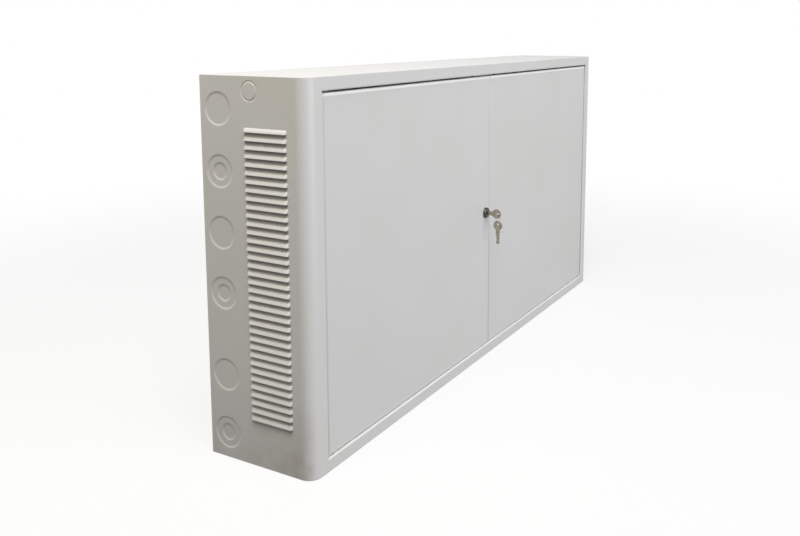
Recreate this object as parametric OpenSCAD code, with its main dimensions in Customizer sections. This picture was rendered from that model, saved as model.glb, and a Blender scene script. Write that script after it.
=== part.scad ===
// Zone cabling enclosure: wall cabinet with two doors, louvred sides and two 19-inch bays.
// Origin at the centre of the wall fixing holes on the back, X to the right, Y to the wall, Z up.

/* [Cabinet] */
// Overall width across the side sheets
cabinet_w = 1219; // [1180:1:1600]
// Overall height
cabinet_h = 610; // [600:1:900]
// Depth from the wall to the front face
cabinet_d = 203; // [190:1:320]
// Thickness of the shell and door sheets
sheet = 1.5; // [1:0.1:2]
// Outside radius of the rolled front corners
corner_r = 22; // [12:0.5:32]
// Radius ground on the welded top and bottom edges
edge_r = 0.9; // [0.3:0.1:0.9]
// Outside radius of the folds
bend_r = 2.5; // [2.2:0.1:3]
// Front width of each stile beside the doors
stile_w = 40; // [38:0.5:60]
// Front width of the rails above and below the doors
rail_w = 21.5; // [20:0.5:40]

/* [Wall fixing] */
// Sideways spacing of the wall holes
wall_hole_x = 812.8; // [406.4:0.1:900]
// Upright spacing of the wall holes
wall_hole_z = 508; // [300:1:540]
// Radius of the wall holes
wall_hole_r = 4.4; // [3:0.1:6]

/* [Louvres] */
// Number of louvres on each side
louvre_count = 36; // [10:1:40]
// Upright distance from one louvre to the next
louvre_pitch = 12.85; // [11:0.05:14]
// Length of each louvre along the side
louvre_len = 80; // [50:1:84]
// Distance from the front face to the louvres
louvre_front = 36.5; // [34:0.5:44]
// Height of each pressed hood
louvre_h = 6.2; // [5:0.1:9]
// How far the hoods stand out
louvre_out = 4.3; // [3:0.1:6.5]
// Radius of the hood's curve
louvre_curve = 14; // [9:0.5:30]
// Wall of the stretched hoods
louvre_wall = 1.1; // [0.8:0.1:1.4]
// Slope of the hood ends
louvre_draft = 1.8; // [0.5:0.1:4]

/* [Knockouts] */
// Radius of the large knockouts
ko_r = 27; // [20:0.5:30]
// Radius of the inner step in every second large knockout
ko_inner_r = 14.8; // [10:0.1:16]
// Distance of the large knockouts from the wall
ko_from_wall = 35; // [33:0.5:45]
// Distance of the highest knockout from the top
ko_from_top = 51; // [40:0.5:60]
// Distance of the lowest knockout from the bottom
ko_from_bottom = 42; // [36:0.5:60]
// Upright distance from one large knockout to the next
ko_pitch = 96; // [70:0.5:96]
// Depth of each pressed step
ko_step = 1.1; // [0.4:0.1:1.3]
// Width of the sloped shoulder round each step
ko_slope = 4.2; // [1:0.1:4.8]
// Radius of the groove of the small knockout
small_ko_r = 14.5; // [10:0.5:16]
// Width of that groove
small_ko_groove = 4; // [1.5:0.1:5]
// Distance of the small knockout from the top
small_ko_from_top = 22.5; // [20:0.5:30]
// Distance of the small knockout from the wall
small_ko_from_wall = 97.5; // [90:0.5:105]

/* [Doors] */
// Mean gap above and below a door
door_gap = 2; // [1.8:0.1:4]
// How far the doors hang below the middle of the opening
door_drop = 1; // [0:0.1:1.2]
// Gap between a door's outer edge and the frame
door_side_gap = 2; // [1.6:0.1:4]
// Gap between the two doors
seam_gap = 1.2; // [0.8:0.1:4]
// How far the doors sit behind the frame's front
door_recess = 3; // [0:0.1:4]
// Depth of the door flanges
door_d = 14; // [13:0.5:18]
// Width of the strike lip on the right door's meeting edge
strike_lip = 14; // [12:0.5:18]
// Length of the stiffener inside each door
stiffener_len = 480; // [300:5:520]
// Depth of the stiffener
stiffener_d = 9; // [5:0.5:12]
// Width of the raised part of the stiffener
stiffener_w = 26; // [15:1:40]
// Width of each foot of the stiffener
stiffener_foot = 12; // [8:1:20]
// Thickness of the stiffener
stiffener_t = 1.2; // [0.8:0.1:2]

/* [Hinges] */
// Radius of the hinge pins
pin_r = 2.5; // [2:0.1:2.8]
// Running clearance round a hinge pin
pin_fit = 0.05; // [0.02:0.01:0.09]
// Distance from a door's outer edge to its hinge axis
pivot_inset = 14; // [12:0.5:20]
// Wall of the nylon bushes
bush_wall = 1; // [0.6:0.1:1.2]
// Radius of the bush flange
bush_flange_r = 6; // [5:0.1:7]
// Play between a bush flange and the frame
bush_play = 0.2; // [0.1:0.05:0.5]
// Thickness of the hinge plates
hinge_plate_t = 3; // [2:0.5:5]
// Length of the hinge plates
hinge_plate_len = 45; // [40:1:80]
// Length of a pin past its hinge plate
pin_tail = 4; // [2:0.5:10]
// Radius of the pin heads
pin_head_r = 5; // [4:0.1:7]
// Height of the pin heads
pin_head_h = 2; // [1:0.5:4]

/* [Lock] */
// Distance from the left door's meeting edge to the lock
lock_inset = 17.5; // [16.5:0.5:30]
// Height of the lock above the cabinet's middle
lock_z = 0; // [-60:1:60]
// Radius of the lock's bezel
bezel_r = 11; // [10.5:0.1:14]
// Height of the bezel in front of the door
bezel_h = 5; // [3.5:0.1:7]
// Radius of the lock barrel
barrel_r = 9.5; // [8.5:0.1:9.8]
// Half width across the flats of the barrel
barrel_flat = 8; // [7.5:0.1:8.3]
// Radius of the turning plug
plug_r = 6; // [5.5:0.1:6.5]
// Running clearance round the plug
plug_fit = 0.05; // [0.02:0.01:0.09]
// Width across the flats of the lock nut
lock_nut_flats = 24; // [22:0.5:26]
// Thickness of the lock nut
lock_nut_t = 4; // [2:0.5:6]
// Room between the door flange and the cam
cam_room = 3; // [1.5:0.5:6]
// Thickness of the cam
cam_t = 2.5; // [1.5:0.1:4]
// Width of the cam's arm
cam_w = 12; // [8:0.5:14]
// How far the cam reaches past the right door's edge
cam_reach = 12; // [8:0.5:16]
// Half width of the plug's square tail
tail_half = 3.5; // [3:0.1:4]

/* [Keys] */
// Thickness of the keys
key_t = 2; // [1.5:0.1:2.2]
// Radius of the round bow
bow_r = 9.8; // [8:0.1:12]
// Distance from the bow's middle to its hole
hole_shift = 2.8; // [1:0.1:4]
// Length of the neck between bow and shoulder
key_neck = 10.4; // [4:0.1:11]
// Length of the blade
blade_len = 19; // [14:0.5:19]
// Height of the blade
blade_h = 7; // [5:0.1:8]
// Radius of the hole in the bow
key_hole_r = 2.6; // [2:0.1:3.2]
// Mean radius of the key ring
ring_r = 9; // [8.5:0.1:14]
// Radius of the key ring's wire
ring_wire = 0.8; // [0.5:0.05:1]
// Gap left where the ring hangs in a hole
hang_gap = 0.3; // [0.2:0.05:0.5]

/* [Slide bolts] */
// Radius of the slide bolts
bolt_r = 3; // [2.5:0.1:3.5]
// Running clearance in the guides
bolt_fit = 0.08; // [0.03:0.01:0.1]
// Distance of the bolts from the right door's meeting edge
bolt_inset = 30; // [26:0.5:40]
// Travel of each bolt
bolt_travel = 14; // [10:0.5:15]
// Length of each bolt past its thumb pin
bolt_tail = 18; // [8:0.5:40]
// Length of the thumb pin
thumb_len = 14; // [8:0.5:20]
// Height of a guide between its ears
guide_len = 32; // [25:1:40]
// Distance from the door's end to the guide
guide_from_end = 24; // [18:1:28]
// Width of the guide
guide_w = 18; // [14:0.5:24]

/* [Door stops] */
// Length of each stop angle
stop_len = 130; // [110:1:200]
// How far a stop hangs into the opening
stop_drop = 14; // [13:0.5:18]
// Overlap of a stop on the frame's return
stop_lap = 7; // [5:0.5:7]
// Height of the rubber bumpers
bumper_h = 4.7; // [3:0.1:8]
// Radius of the rubber bumpers
bumper_r = 5; // [3:0.5:5]
// Distance of the bumpers from the middle
bumper_x = 50; // [46:1:50]
// Gap between a bumper and a closed door
bumper_gap = 0.3; // [0.2:0.05:0.6]

/* [Rack rails] */
// Rack units on each rail
rack_units = 12; // [6:1:12]
// Sideways spacing of the equipment holes where a bay has room for it
rack_spacing = 465.1; // [240:0.1:465.1]
// Room beside each line of equipment holes for cables
gutter_w = 71.4; // [60:0.1:90]
// Depth of the rails from the back
rail_depth = 100; // [50:1:150]
// Thickness of the rails
rail_t = 2; // [1.5:0.1:3]
// Width of the rails' front flange
rail_flange = 22; // [18:0.5:24]
// Width of the rails' foot on the back
rail_foot = 25; // [20:0.5:27]
// Radius of the equipment holes
rack_hole_r = 3.55; // [3:0.05:4]
// Radius of the weld studs
stud_r = 3; // [2.5:0.1:3.5]
// Length of the weld studs
stud_len = 12; // [9:0.5:20]
// Width across the flats of the nuts
nut_flats = 10; // [9:0.5:13]
// Thickness of the nuts
nut_t = 5; // [3:0.5:7]

/* [Ground bar] */
// Length of the ground bar
bar_len = 120; // [100:1:200]
// Width of the ground bar
bar_w = 25; // [20:1:30]
// Thickness of the ground bar
bar_t = 5; // [3:0.5:8]
// Height of the bar's middle above the cabinet's middle
bar_z = -150; // [-180:1:180]
// Length of the standoffs
standoff_len = 20; // [16:1:40]
// Radius of the standoffs
standoff_r = 8; // [6:0.5:10]
// Number of terminal screws
terminal_count = 5; // [2:1:5]
// Radius of the ground screws
ground_screw_r = 2.5; // [2:0.1:3]

/* [Hidden] */
$fn = 64;
bend_steps = 5;
corner_steps = 12;
over = 1;
fit = 0.05;

// Standard rack pattern
rack_unit = 44.45;
rack_unit_holes = [6.35, 22.225, 38.1];
rack_hole_edge = 7.5;
rail_end = 6;

// Shell
half_w = cabinet_w / 2;
half_h = cabinet_h / 2;
front_y = -cabinet_d;
side_len = cabinet_d - corner_r;
open_w = cabinet_w - 2 * stile_w;
open_h = cabinet_h - 2 * rail_w;
return_d = door_recess + door_d + bumper_gap + bumper_h;

// Louvre curve through the hood's root and lip
louvre_chord = norm([louvre_out, louvre_h]);
louvre_rise = sqrt(pow(louvre_curve, 2) - pow(louvre_chord / 2, 2));
louvre_c = [louvre_out, louvre_h] / 2 - louvre_rise * [louvre_h, louvre_out] / louvre_chord;
louvre_lip_a = atan2(-louvre_c[1], louvre_out - louvre_c[0]);
louvre_root_a = atan2(louvre_h - louvre_c[1], -louvre_c[0]);
louvre_in_r = louvre_curve - louvre_wall;
louvre_in_low = asin((-fit - louvre_c[1]) / louvre_in_r);
louvre_in_high = acos((-sheet - over - louvre_c[0]) / louvre_in_r);
louvre_y = front_y + louvre_front + louvre_len / 2;

// Knockouts, highest first
ko_y = -ko_from_wall;
ko_upper_count = 4;
ko_lower_count = 2;
ko_z = concat(
    [for (i = [0:ko_upper_count - 1]) half_h - ko_from_top - i * ko_pitch],
    [for (i = [ko_lower_count - 1:-1:0]) -half_h + ko_from_bottom + i * ko_pitch]
);

// Doors
door_w = (open_w - 2 * door_side_gap - seam_gap) / 2;
door_h = open_h - 2 * door_gap;
door_x = (door_w + seam_gap) / 2;
door_z = -door_drop;
door_front = front_y + door_recess;
door_back = door_front + door_d;
door_top = door_h / 2;
door_inner = door_front + sheet;

// Hinges
pivot_x = door_x + door_w / 2 - pivot_inset;
pivot_y = door_front + door_d / 2;
bush_bore_r = pin_r + pin_fit;
bush_r = bush_bore_r + bush_wall;
plate_room = 0.5;

// Lock, measured along its axis from the door's front face, outward positive
lock_x = -seam_gap / 2 - lock_inset;
barrel_len = door_d + cam_room;
cam_lift = 0.3;
cam_near = barrel_len + cam_lift;
cam_far = cam_near + cam_t;
cam_len = lock_inset + seam_gap + cam_reach;
cam_hub_r = 9;
tail_len = cam_t - cam_lift;
plug_sink = 0.4;
keyway_room = 0.15;
bezel_round = 2.5;
cam_screw_r = 2;
cam_screw_len = 6;
cam_screw_head_r = 4.5;
cam_screw_head_h = 2.2;

// Keys
shoulder_room = 0.5;
shoulder = bezel_h + shoulder_room;
neck_half = 4.5;
key_cuts = 4;
bow_at = key_neck + bow_r;
hole_at = bow_at + hole_shift;
hang_drop = key_hole_r - ring_wire - hang_gap;
ring_y = door_front - shoulder - hole_at;
ring_top = lock_z - hang_drop;
ring_z = ring_top - ring_r;
spare_hole_z = ring_z - ring_r - hang_drop;

// Slide bolts
bolt_x = seam_gap / 2 + bolt_inset;
bolt_y = door_front + door_d / 2 + over;
bolt_sink = 0.5;
bolt_play = 0.5;
bolt_tip = door_top - bolt_sink;
bolt_hole_r = bolt_r + bolt_play;
thumb_r = 2.4;
guide_t = 1.5;
guide_low = door_top - guide_from_end - guide_len;
thumb_z = guide_low - bolt_travel - thumb_r - over;
bolt_low = thumb_z - bolt_tail;

// Rails
bay_w = half_w - sheet;
bay_x = bay_w / 2;
rail_x = min(rack_spacing, bay_w - 2 * gutter_w) / 2;
rail_len = rack_units * rack_unit + 2 * rail_end;
rail_front = -sheet - rail_depth;
stud_x = rail_flange - rack_hole_edge + rail_foot / 2;
stud_from_end = 30;
stud_play = 0.3;
stud_z = rail_len / 2 - stud_from_end;
stud_hole_r = stud_r + stud_play;

// Ground bar
bar_screw_inset = 14;
bar_screw_z = bar_len / 2 - bar_screw_inset;
bar_back = -sheet - standoff_len;
terminal_gap = (2 * bar_screw_z) / (terminal_count + 1);
screw_head_r = 4.6;
screw_head_h = 3.2;
screw_tail = 3;

paint = [0.80, 0.80, 0.79];
zinc = [0.72, 0.73, 0.74];
nylon = [0.25, 0.25, 0.25];
copper = [0.72, 0.45, 0.28];
insulator = [0.65, 0.12, 0.10];
rubber = [0.12, 0.12, 0.12];
lock_metal = [0.50, 0.50, 0.51];
key_metal = [0.68, 0.65, 0.60];

// Points along an arc about c
function arc(c, r, from, to, steps = bend_steps) =
    [for (i = [0:steps]) let (a = from + (to - from) * i / steps) c + r * [cos(a), sin(a)]];

// Extrudes a section drawn in (y, z) along X
module along_x(len) {
    rotate([90, 0, 90]) linear_extrude(len, center = true) children();
}

// Extrudes a section drawn in (x, z) along Y
module along_y(len) {
    rotate([90, 0, 0]) linear_extrude(len, center = true) children();
}

// Cylinder along Y from y0 towards +Y
module rod_y(x, y0, z, r, len) {
    translate([x, y0, z]) rotate([-90, 0, 0]) cylinder(r = r, h = len);
}

// Hexagon along Y from y0 towards +Y
module hex_y(x, y0, z, flats, len) {
    translate([x, y0, z]) rotate([-90, 0, 0]) cylinder(r = flats / sqrt(3), h = len, $fn = 6);
}

// Copies across the cabinet's middle, left and right
module both_sides() {
    children();
    mirror([1, 0, 0]) children();
}

// Copies across the cabinet's middle, upper and lower
module both_ends() {
    children();
    mirror([0, 0, 1]) children();
}

// Section of an upright sheet, outer face at 0, with its outer top and bottom edges rounded
module sheet_section() {
    polygon(concat(
        [[sheet, -half_h], [sheet, half_h]],
        arc([edge_r, half_h - edge_r], edge_r, 90, 180),
        arc([edge_r, edge_r - half_h], edge_r, 180, 270)
    ));
}

// Plan of a block whose two front edges are rounded
module rounded_plan(w, d, r) {
    polygon(concat(
        [[-w / 2, d], [w / 2, d]],
        arc([w / 2 - r, r], r, 0, -90),
        arc([r - w / 2, r], r, -90, -180)
    ));
}

// Plan of an opening whose two front edges curve outward
module flared_plan(w, d, r) {
    polygon(concat(
        [[w / 2, d], [-w / 2, d]],
        arc([-w / 2 - r, r], r, 0, -90),
        [[-w / 2 - r, -over], [w / 2 + r, -over]],
        arc([w / 2 + r, r], r, -90, -180)
    ));
}

// Block with its four front edges rounded, front face on y = 0
module rounded_block(w, h, d, r) {
    intersection() {
        linear_extrude(h, center = true) rounded_plan(w, d, r);
        rotate([0, -90, 0]) linear_extrude(w, center = true) rounded_plan(h, d, r);
    }
}

// Opening with its four front edges flared, front plane on y = 0
module flared_block(w, h, d, r) {
    intersection() {
        linear_extrude(h + 2 * r, center = true) flared_plan(w, d, r);
        rotate([0, -90, 0]) linear_extrude(w + 2 * r, center = true) flared_plan(h, d, r);
    }
}

// Front sheet between the rolled corners, with returns folded back round the door opening
module framed_front() {
    flat_w = cabinet_w - 2 * corner_r;
    difference() {
        union() {
            along_x(flat_w) sheet_section();
            translate([-open_w / 2 - sheet, 0, -open_h / 2 - sheet])
                cube([open_w + 2 * sheet, return_d, open_h + 2 * sheet]);
            flare_fill();
        }
        flared_block(open_w, open_h, return_d + over, bend_r);
    }
}

// Metal behind the folded edge of the opening
module flare_fill() {
    w = open_w + 2 * bend_r;
    h = open_h + 2 * bend_r;
    difference() {
        translate([-w / 2, 0, -h / 2]) cube([w, bend_r, h]);
        difference() {
            translate([-w / 2 - over, sheet, -h / 2 - over]) cube([w + 2 * over, bend_r, h + 2 * over]);
            translate([0, sheet, 0])
                flared_block(open_w + 2 * sheet, open_h + 2 * sheet, bend_r, bend_r - sheet);
        }
    }
}

module rolled_corner() {
    translate([half_w - corner_r, corner_r, 0])
        rotate([0, 0, -90])
            rotate_extrude(angle = 90) translate([corner_r, 0]) mirror([1, 0]) sheet_section();
}

module front_frame() {
    color(paint) difference() {
        translate([0, front_y, 0]) {
            framed_front();
            both_sides() rolled_corner();
        }
        both_ends() both_sides() translate([pivot_x, pivot_y, open_h / 2 - over])
            cylinder(r = pin_r + fit, h = sheet + 2 * over);
        both_ends() translate([bolt_x, bolt_y, open_h / 2 - over])
            cylinder(r = bolt_hole_r, h = sheet + 2 * over);
    }
}

// Outside of one hood: curved section crossed with a plan with sloped ends
module hood_outside() {
    root = -sheet / 2;
    reach = louvre_len / 2 - louvre_draft;
    intersection() {
        along_y(louvre_len) polygon(concat(
            arc(louvre_c, louvre_curve, louvre_lip_a, louvre_root_a),
            [[root, louvre_h], [root, 0]]
        ));
        linear_extrude(louvre_h) polygon([
            [root, -louvre_len / 2], [0, -louvre_len / 2], [louvre_out, -reach],
            [louvre_out, reach], [0, louvre_len / 2], [root, louvre_len / 2]
        ]);
    }
}

// Inside of one hood, open downward and through the sheet
module hood_inside() {
    back = -sheet - over;
    half = louvre_len / 2 - louvre_wall;
    reach = half - louvre_draft;
    intersection() {
        along_y(louvre_len) polygon(concat(
            arc(louvre_c, louvre_in_r, louvre_in_low, louvre_in_high),
            [[back, -fit]]
        ));
        translate([0, 0, -over]) linear_extrude(louvre_h + over) polygon([
            [back, -half], [0, -half], [louvre_out, -reach],
            [louvre_out, reach], [0, half], [back, half]
        ]);
    }
}

module at_louvres() {
    for (i = [0:louvre_count - 1])
        translate([half_w, louvre_y, (i - (louvre_count - 1) / 2) * louvre_pitch - louvre_h / 2])
            children();
}

// Step pressed inward, from depth on, seen from outside
module step_cut(r, depth) {
    translate([half_w - depth - ko_step, 0, 0])
        rotate([0, 90, 0]) cylinder(r1 = r - ko_slope, r2 = r, h = ko_step);
}

// Metal that the step pushes out inside the cabinet
module step_boss(r, depth) {
    translate([half_w - sheet - depth - ko_step, 0, 0]) rotate([0, 90, 0]) {
        cylinder(r1 = r - ko_slope, r2 = r, h = ko_step);
        translate([0, 0, ko_step]) cylinder(r = r, h = sheet / 2);
    }
}

module small_knockout_groove() {
    translate([half_w, -small_ko_from_wall, half_h - small_ko_from_top])
        rotate([0, 90, 0])
            rotate_extrude() translate([small_ko_r, 0])
                polygon([[-small_ko_groove / 2, fit], [0, -ko_step], [small_ko_groove / 2, fit]]);
}

module louvred_side() {
    difference() {
        union() {
            translate([half_w, -side_len / 2, 0]) along_y(side_len) mirror([1, 0]) sheet_section();
            at_louvres() hood_outside();
            for (i = [0:len(ko_z) - 1]) translate([0, ko_y, ko_z[i]]) {
                step_boss(ko_r, 0);
                if (i % 2 == 1) step_boss(ko_inner_r, ko_step);
            }
        }
        at_louvres() hood_inside();
        for (i = [0:len(ko_z) - 1]) translate([0, ko_y, ko_z[i]]) {
            step_cut(ko_r, 0);
            if (i % 2 == 1) step_cut(ko_inner_r, ko_step);
        }
        small_knockout_groove();
    }
}

module right_side() {
    color(paint) louvred_side();
}

module left_side() {
    color(paint) mirror([1, 0, 0]) louvred_side();
}

// Back, top and bottom folded from one sheet, fitted inside the sides and the rolled corners
module rear_pan() {
    near = front_y + sheet;
    fold_in = bend_r - sheet;
    c = [-bend_r, half_h - bend_r];
    low_c = [c[0], -c[1]];
    plan_r = corner_r - sheet;
    color(paint) difference() {
        intersection() {
            along_x(cabinet_w - 2 * sheet) polygon(concat(
                [[near, half_h]], arc(c, bend_r, 90, 0), arc(low_c, bend_r, 0, -90),
                [[near, -half_h], [near, sheet - half_h]],
                arc(low_c, fold_in, -90, 0), arc(c, fold_in, 0, 90), [[near, half_h - sheet]]
            ));
            translate([0, near, 0]) linear_extrude(cabinet_h + 2 * over, center = true)
                polygon(concat(
                    [[sheet - half_w, over - near], [half_w - sheet, over - near]],
                    arc([half_w - corner_r, plan_r], plan_r, 0, -90, corner_steps),
                    arc([corner_r - half_w, plan_r], plan_r, -90, -180, corner_steps)
                ));
        }
        both_ends() both_sides()
            rod_y(wall_hole_x / 2, -sheet - over, wall_hole_z / 2, wall_hole_r, sheet + 2 * over);
    }
}

// Rail to the right of a bay, drawn about its line of equipment holes
module rack_rail() {
    inner = -rack_hole_edge;
    web = inner + rail_flange;
    foot = web - rail_t + rail_foot;
    near_foot = -sheet - rail_t;
    difference() {
        linear_extrude(rail_len, center = true) polygon([
            [inner, rail_front], [web, rail_front], [web, near_foot], [foot, near_foot],
            [foot, -sheet], [web - rail_t, -sheet], [web - rail_t, rail_front + rail_t],
            [inner, rail_front + rail_t]
        ]);
        for (u = [0:rack_units - 1], h = rack_unit_holes)
            translate([0, 0, (u - rack_units / 2) * rack_unit + h])
                rod_y(0, rail_front - over, 0, rack_hole_r, rail_t + 2 * over);
        for (s = [-1:1])
            rod_y(stud_x, near_foot - over, s * stud_z, stud_hole_r, rail_t + 2 * over);
    }
}

module right_bay_outer_rail() {
    color(zinc) translate([bay_x + rail_x, 0, 0]) rack_rail();
}

module right_bay_inner_rail() {
    color(zinc) translate([bay_x - rail_x, 0, 0]) mirror([1, 0, 0]) rack_rail();
}

module left_bay_outer_rail() {
    color(zinc) mirror([1, 0, 0]) translate([bay_x + rail_x, 0, 0]) rack_rail();
}

module left_bay_inner_rail() {
    color(zinc) translate([rail_x - bay_x, 0, 0]) rack_rail();
}

// Places children at every rail stud
module at_studs() {
    both_sides() for (side = [-1, 1], s = [-1:1])
        translate([bay_x + side * (rail_x + stud_x), 0, s * stud_z]) children();
}

module rail_studs() {
    color(zinc) at_studs() rod_y(0, -sheet - stud_len, 0, stud_r, stud_len);
}

module rail_nuts() {
    near = -sheet - rail_t - nut_t;
    color(zinc) at_studs() difference() {
        hex_y(0, near, 0, nut_flats, nut_t);
        rod_y(0, near - over, 0, stud_r + fit, nut_t + 2 * over);
    }
}

module at_bar_ends() {
    for (s = [-1, 1]) translate([0, 0, bar_z + s * bar_screw_z]) children();
}

module at_terminals() {
    for (i = [1:terminal_count]) translate([0, 0, bar_z - bar_screw_z + i * terminal_gap]) children();
}

module ground_bar() {
    color(copper) difference() {
        translate([-bar_w / 2, bar_back - bar_t, bar_z - bar_len / 2]) cube([bar_w, bar_t, bar_len]);
        at_bar_ends() rod_y(0, bar_back - bar_t - over, 0, ground_screw_r + fit, bar_t + 2 * over);
        at_terminals() rod_y(0, bar_back - bar_t - over, 0, ground_screw_r + fit, bar_t + 2 * over);
    }
}

module ground_standoffs() {
    bore = standoff_len / 2;
    color(insulator) at_bar_ends() difference() {
        rod_y(0, bar_back, 0, standoff_r, standoff_len);
        rod_y(0, bar_back - over, 0, ground_screw_r + fit, bore + over);
    }
}

// Hex screw with its head against the front of the ground bar
module ground_screw(len) {
    head_back = bar_back - bar_t;
    hex_y(0, head_back - screw_head_h, 0, screw_head_r * sqrt(3), screw_head_h);
    rod_y(0, head_back, 0, ground_screw_r, len);
}

module ground_screws() {
    color(zinc) {
        at_bar_ends() ground_screw(bar_t + standoff_len / 2 - over);
        at_terminals() ground_screw(bar_t + screw_tail);
    }
}

// Angle lapped on the return above the doors
module stop_angle() {
    top = open_h / 2 + 2 * sheet;
    leg = front_y + return_d;
    along_x(stop_len) polygon([
        [leg - stop_lap, top - sheet], [leg, top - sheet], [leg, open_h / 2 - stop_drop],
        [leg + sheet, open_h / 2 - stop_drop], [leg + sheet, top], [leg - stop_lap, top]
    ]);
}

module upper_door_stop() {
    color(paint) stop_angle();
}

module lower_door_stop() {
    color(paint) mirror([0, 0, 1]) stop_angle();
}

module door_bumpers() {
    color(rubber) both_ends() both_sides()
        rod_y(bumper_x, door_back + bumper_gap, door_top - bumper_r + sheet / 2, bumper_r, bumper_h);
}

// Headed pin down through the frame's return and the door's bush
module hinge_pin() {
    seat = open_h / 2 + sheet;
    tip = door_top - sheet - hinge_plate_t - pin_tail;
    translate([pivot_x, pivot_y, tip]) cylinder(r = pin_r, h = seat - tip);
    translate([pivot_x, pivot_y, seat]) cylinder(r = pin_head_r, h = pin_head_h);
}

module hinge_pins() {
    color(zinc) both_ends() both_sides() hinge_pin();
}

// Lowers what hangs with the doors
module at_doors() {
    translate([0, 0, door_z]) children();
}

// Folded door pan for the right
module door_pan() {
    difference() {
        translate([door_x, door_front, 0]) rounded_block(door_w, door_h, door_d, bend_r);
        translate([door_x, door_inner, 0])
            rounded_block(door_w - 2 * sheet, door_h - 2 * sheet, door_d, bend_r - sheet);
        both_ends() translate([pivot_x, pivot_y, door_top - sheet - over])
            cylinder(r = bush_r + fit, h = sheet + 2 * over);
    }
}

module right_door() {
    lip_h = door_h - 2 * (guide_from_end + guide_len);
    color(paint) at_doors() difference() {
        union() {
            door_pan();
            translate([seam_gap / 2 + sheet / 2, door_back - sheet, -lip_h / 2])
                cube([strike_lip - sheet / 2, sheet, lip_h]);
        }
        both_ends() translate([bolt_x, bolt_y, door_top - sheet - over])
            cylinder(r = bolt_hole_r, h = sheet + 2 * over);
    }
}

// Barrel section with two flats
module barrel_shape(grow) {
    intersection() {
        circle(r = barrel_r + grow);
        square([2 * (barrel_flat + grow), 3 * barrel_r], center = true);
    }
}

module left_door() {
    color(paint) difference() {
        at_doors() mirror([1, 0, 0]) door_pan();
        translate([lock_x, door_front, lock_z]) along_y(4 * sheet) barrel_shape(fit);
    }
}

// Hat section from end to end of the door's middle
module stiffener() {
    half = stiffener_w / 2;
    foot = half + stiffener_foot;
    crown = stiffener_d;
    t = stiffener_t;
    translate([door_x, door_inner, 0]) linear_extrude(stiffener_len, center = true) polygon([
        [-foot, 0], [-half + t, 0], [-half + t, crown - t], [half - t, crown - t], [half - t, 0],
        [foot, 0], [foot, t], [half, t], [half, crown], [-half, crown], [-half, t], [-foot, t]
    ]);
}

module right_door_stiffener() {
    color(paint) at_doors() stiffener();
}

module left_door_stiffener() {
    color(paint) at_doors() mirror([1, 0, 0]) stiffener();
}

// Plate under the door's end flange that holds the bush
module hinge_plate() {
    outer = door_x + door_w / 2 - sheet - plate_room;
    difference() {
        translate([outer - hinge_plate_len, door_front + bend_r, door_top - sheet - hinge_plate_t])
            cube([hinge_plate_len, door_d - bend_r, hinge_plate_t]);
        translate([pivot_x, pivot_y, door_top - sheet - hinge_plate_t - over])
            cylinder(r = bush_r + fit, h = hinge_plate_t + 2 * over);
    }
}

module right_hinge_plates() {
    color(zinc) at_doors() both_ends() hinge_plate();
}

module left_hinge_plates() {
    color(zinc) at_doors() mirror([1, 0, 0]) both_ends() hinge_plate();
}

// Flanged bush: sleeve through the door and its plate, flange in the gap under the frame
module hinge_bush(gap) {
    sleeve = sheet + hinge_plate_t;
    flange = gap - bush_play;
    translate([pivot_x, pivot_y, door_top]) difference() {
        union() {
            translate([0, 0, -sleeve]) cylinder(r = bush_r, h = sleeve);
            cylinder(r = bush_flange_r, h = flange);
        }
        translate([0, 0, -sleeve - over]) cylinder(r = bush_bore_r, h = sleeve + flange + 2 * over);
    }
}

// Upper and lower bush of the right door
module bush_pair() {
    at_doors() {
        hinge_bush(door_gap + door_drop);
        mirror([0, 0, 1]) hinge_bush(door_gap - door_drop);
    }
}

module right_hinge_bushes() {
    color(nylon) bush_pair();
}

module left_hinge_bushes() {
    color(nylon) mirror([1, 0, 0]) bush_pair();
}

// Turns a shape drawn along +Z so that it points out of the door at the lock
module at_lock() {
    translate([lock_x, door_front, lock_z]) rotate([90, 0, 0]) children();
}

module lock_housing() {
    bore = plug_r + plug_fit;
    round_c = [bezel_r - bezel_round, bezel_h - bezel_round];
    color(lock_metal) at_lock() difference() {
        union() {
            rotate_extrude() polygon(concat(
                [[bore, 0], [bezel_r, 0]], arc(round_c, bezel_round, 0, 90), [[bore, bezel_h]]
            ));
            translate([0, 0, -barrel_len]) linear_extrude(barrel_len) barrel_shape(0);
        }
        translate([0, 0, -barrel_len - over]) cylinder(r = bore, h = barrel_len + bezel_h + 2 * over);
    }
}

module lock_nut() {
    color(zinc) at_lock() translate([0, 0, -sheet - lock_nut_t]) difference() {
        cylinder(r = lock_nut_flats / sqrt(3), h = lock_nut_t, $fn = 6);
        translate([0, 0, -over]) linear_extrude(lock_nut_t + 2 * over) barrel_shape(fit);
    }
}

module lock_plug() {
    face = bezel_h - plug_sink;
    slot_depth = blade_len + over;
    color(lock_metal) at_lock() difference() {
        union() {
            translate([0, 0, -cam_near]) cylinder(r = plug_r, h = cam_near + face);
            translate([-tail_half, -tail_half, -cam_near - tail_len])
                cube([2 * tail_half, 2 * tail_half, tail_len + over]);
        }
        translate([-key_t / 2 - keyway_room, -blade_h / 2 - keyway_room, shoulder - slot_depth])
            cube([key_t + 2 * keyway_room, blade_h + 2 * keyway_room, slot_depth]);
        translate([0, 0, -cam_near - tail_len - over])
            cylinder(r = cam_screw_r + fit, h = cam_screw_len + tail_len);
    }
}

// Hub on the plug's tail with the arm hanging down, unlocked
module lock_cam() {
    color(zinc) at_lock() translate([0, 0, -cam_far]) linear_extrude(cam_t) difference() {
        union() {
            circle(r = cam_hub_r);
            translate([-cam_w / 2, -cam_len]) square([cam_w, cam_len]);
        }
        square(2 * (tail_half + fit), center = true);
    }
}

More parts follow.
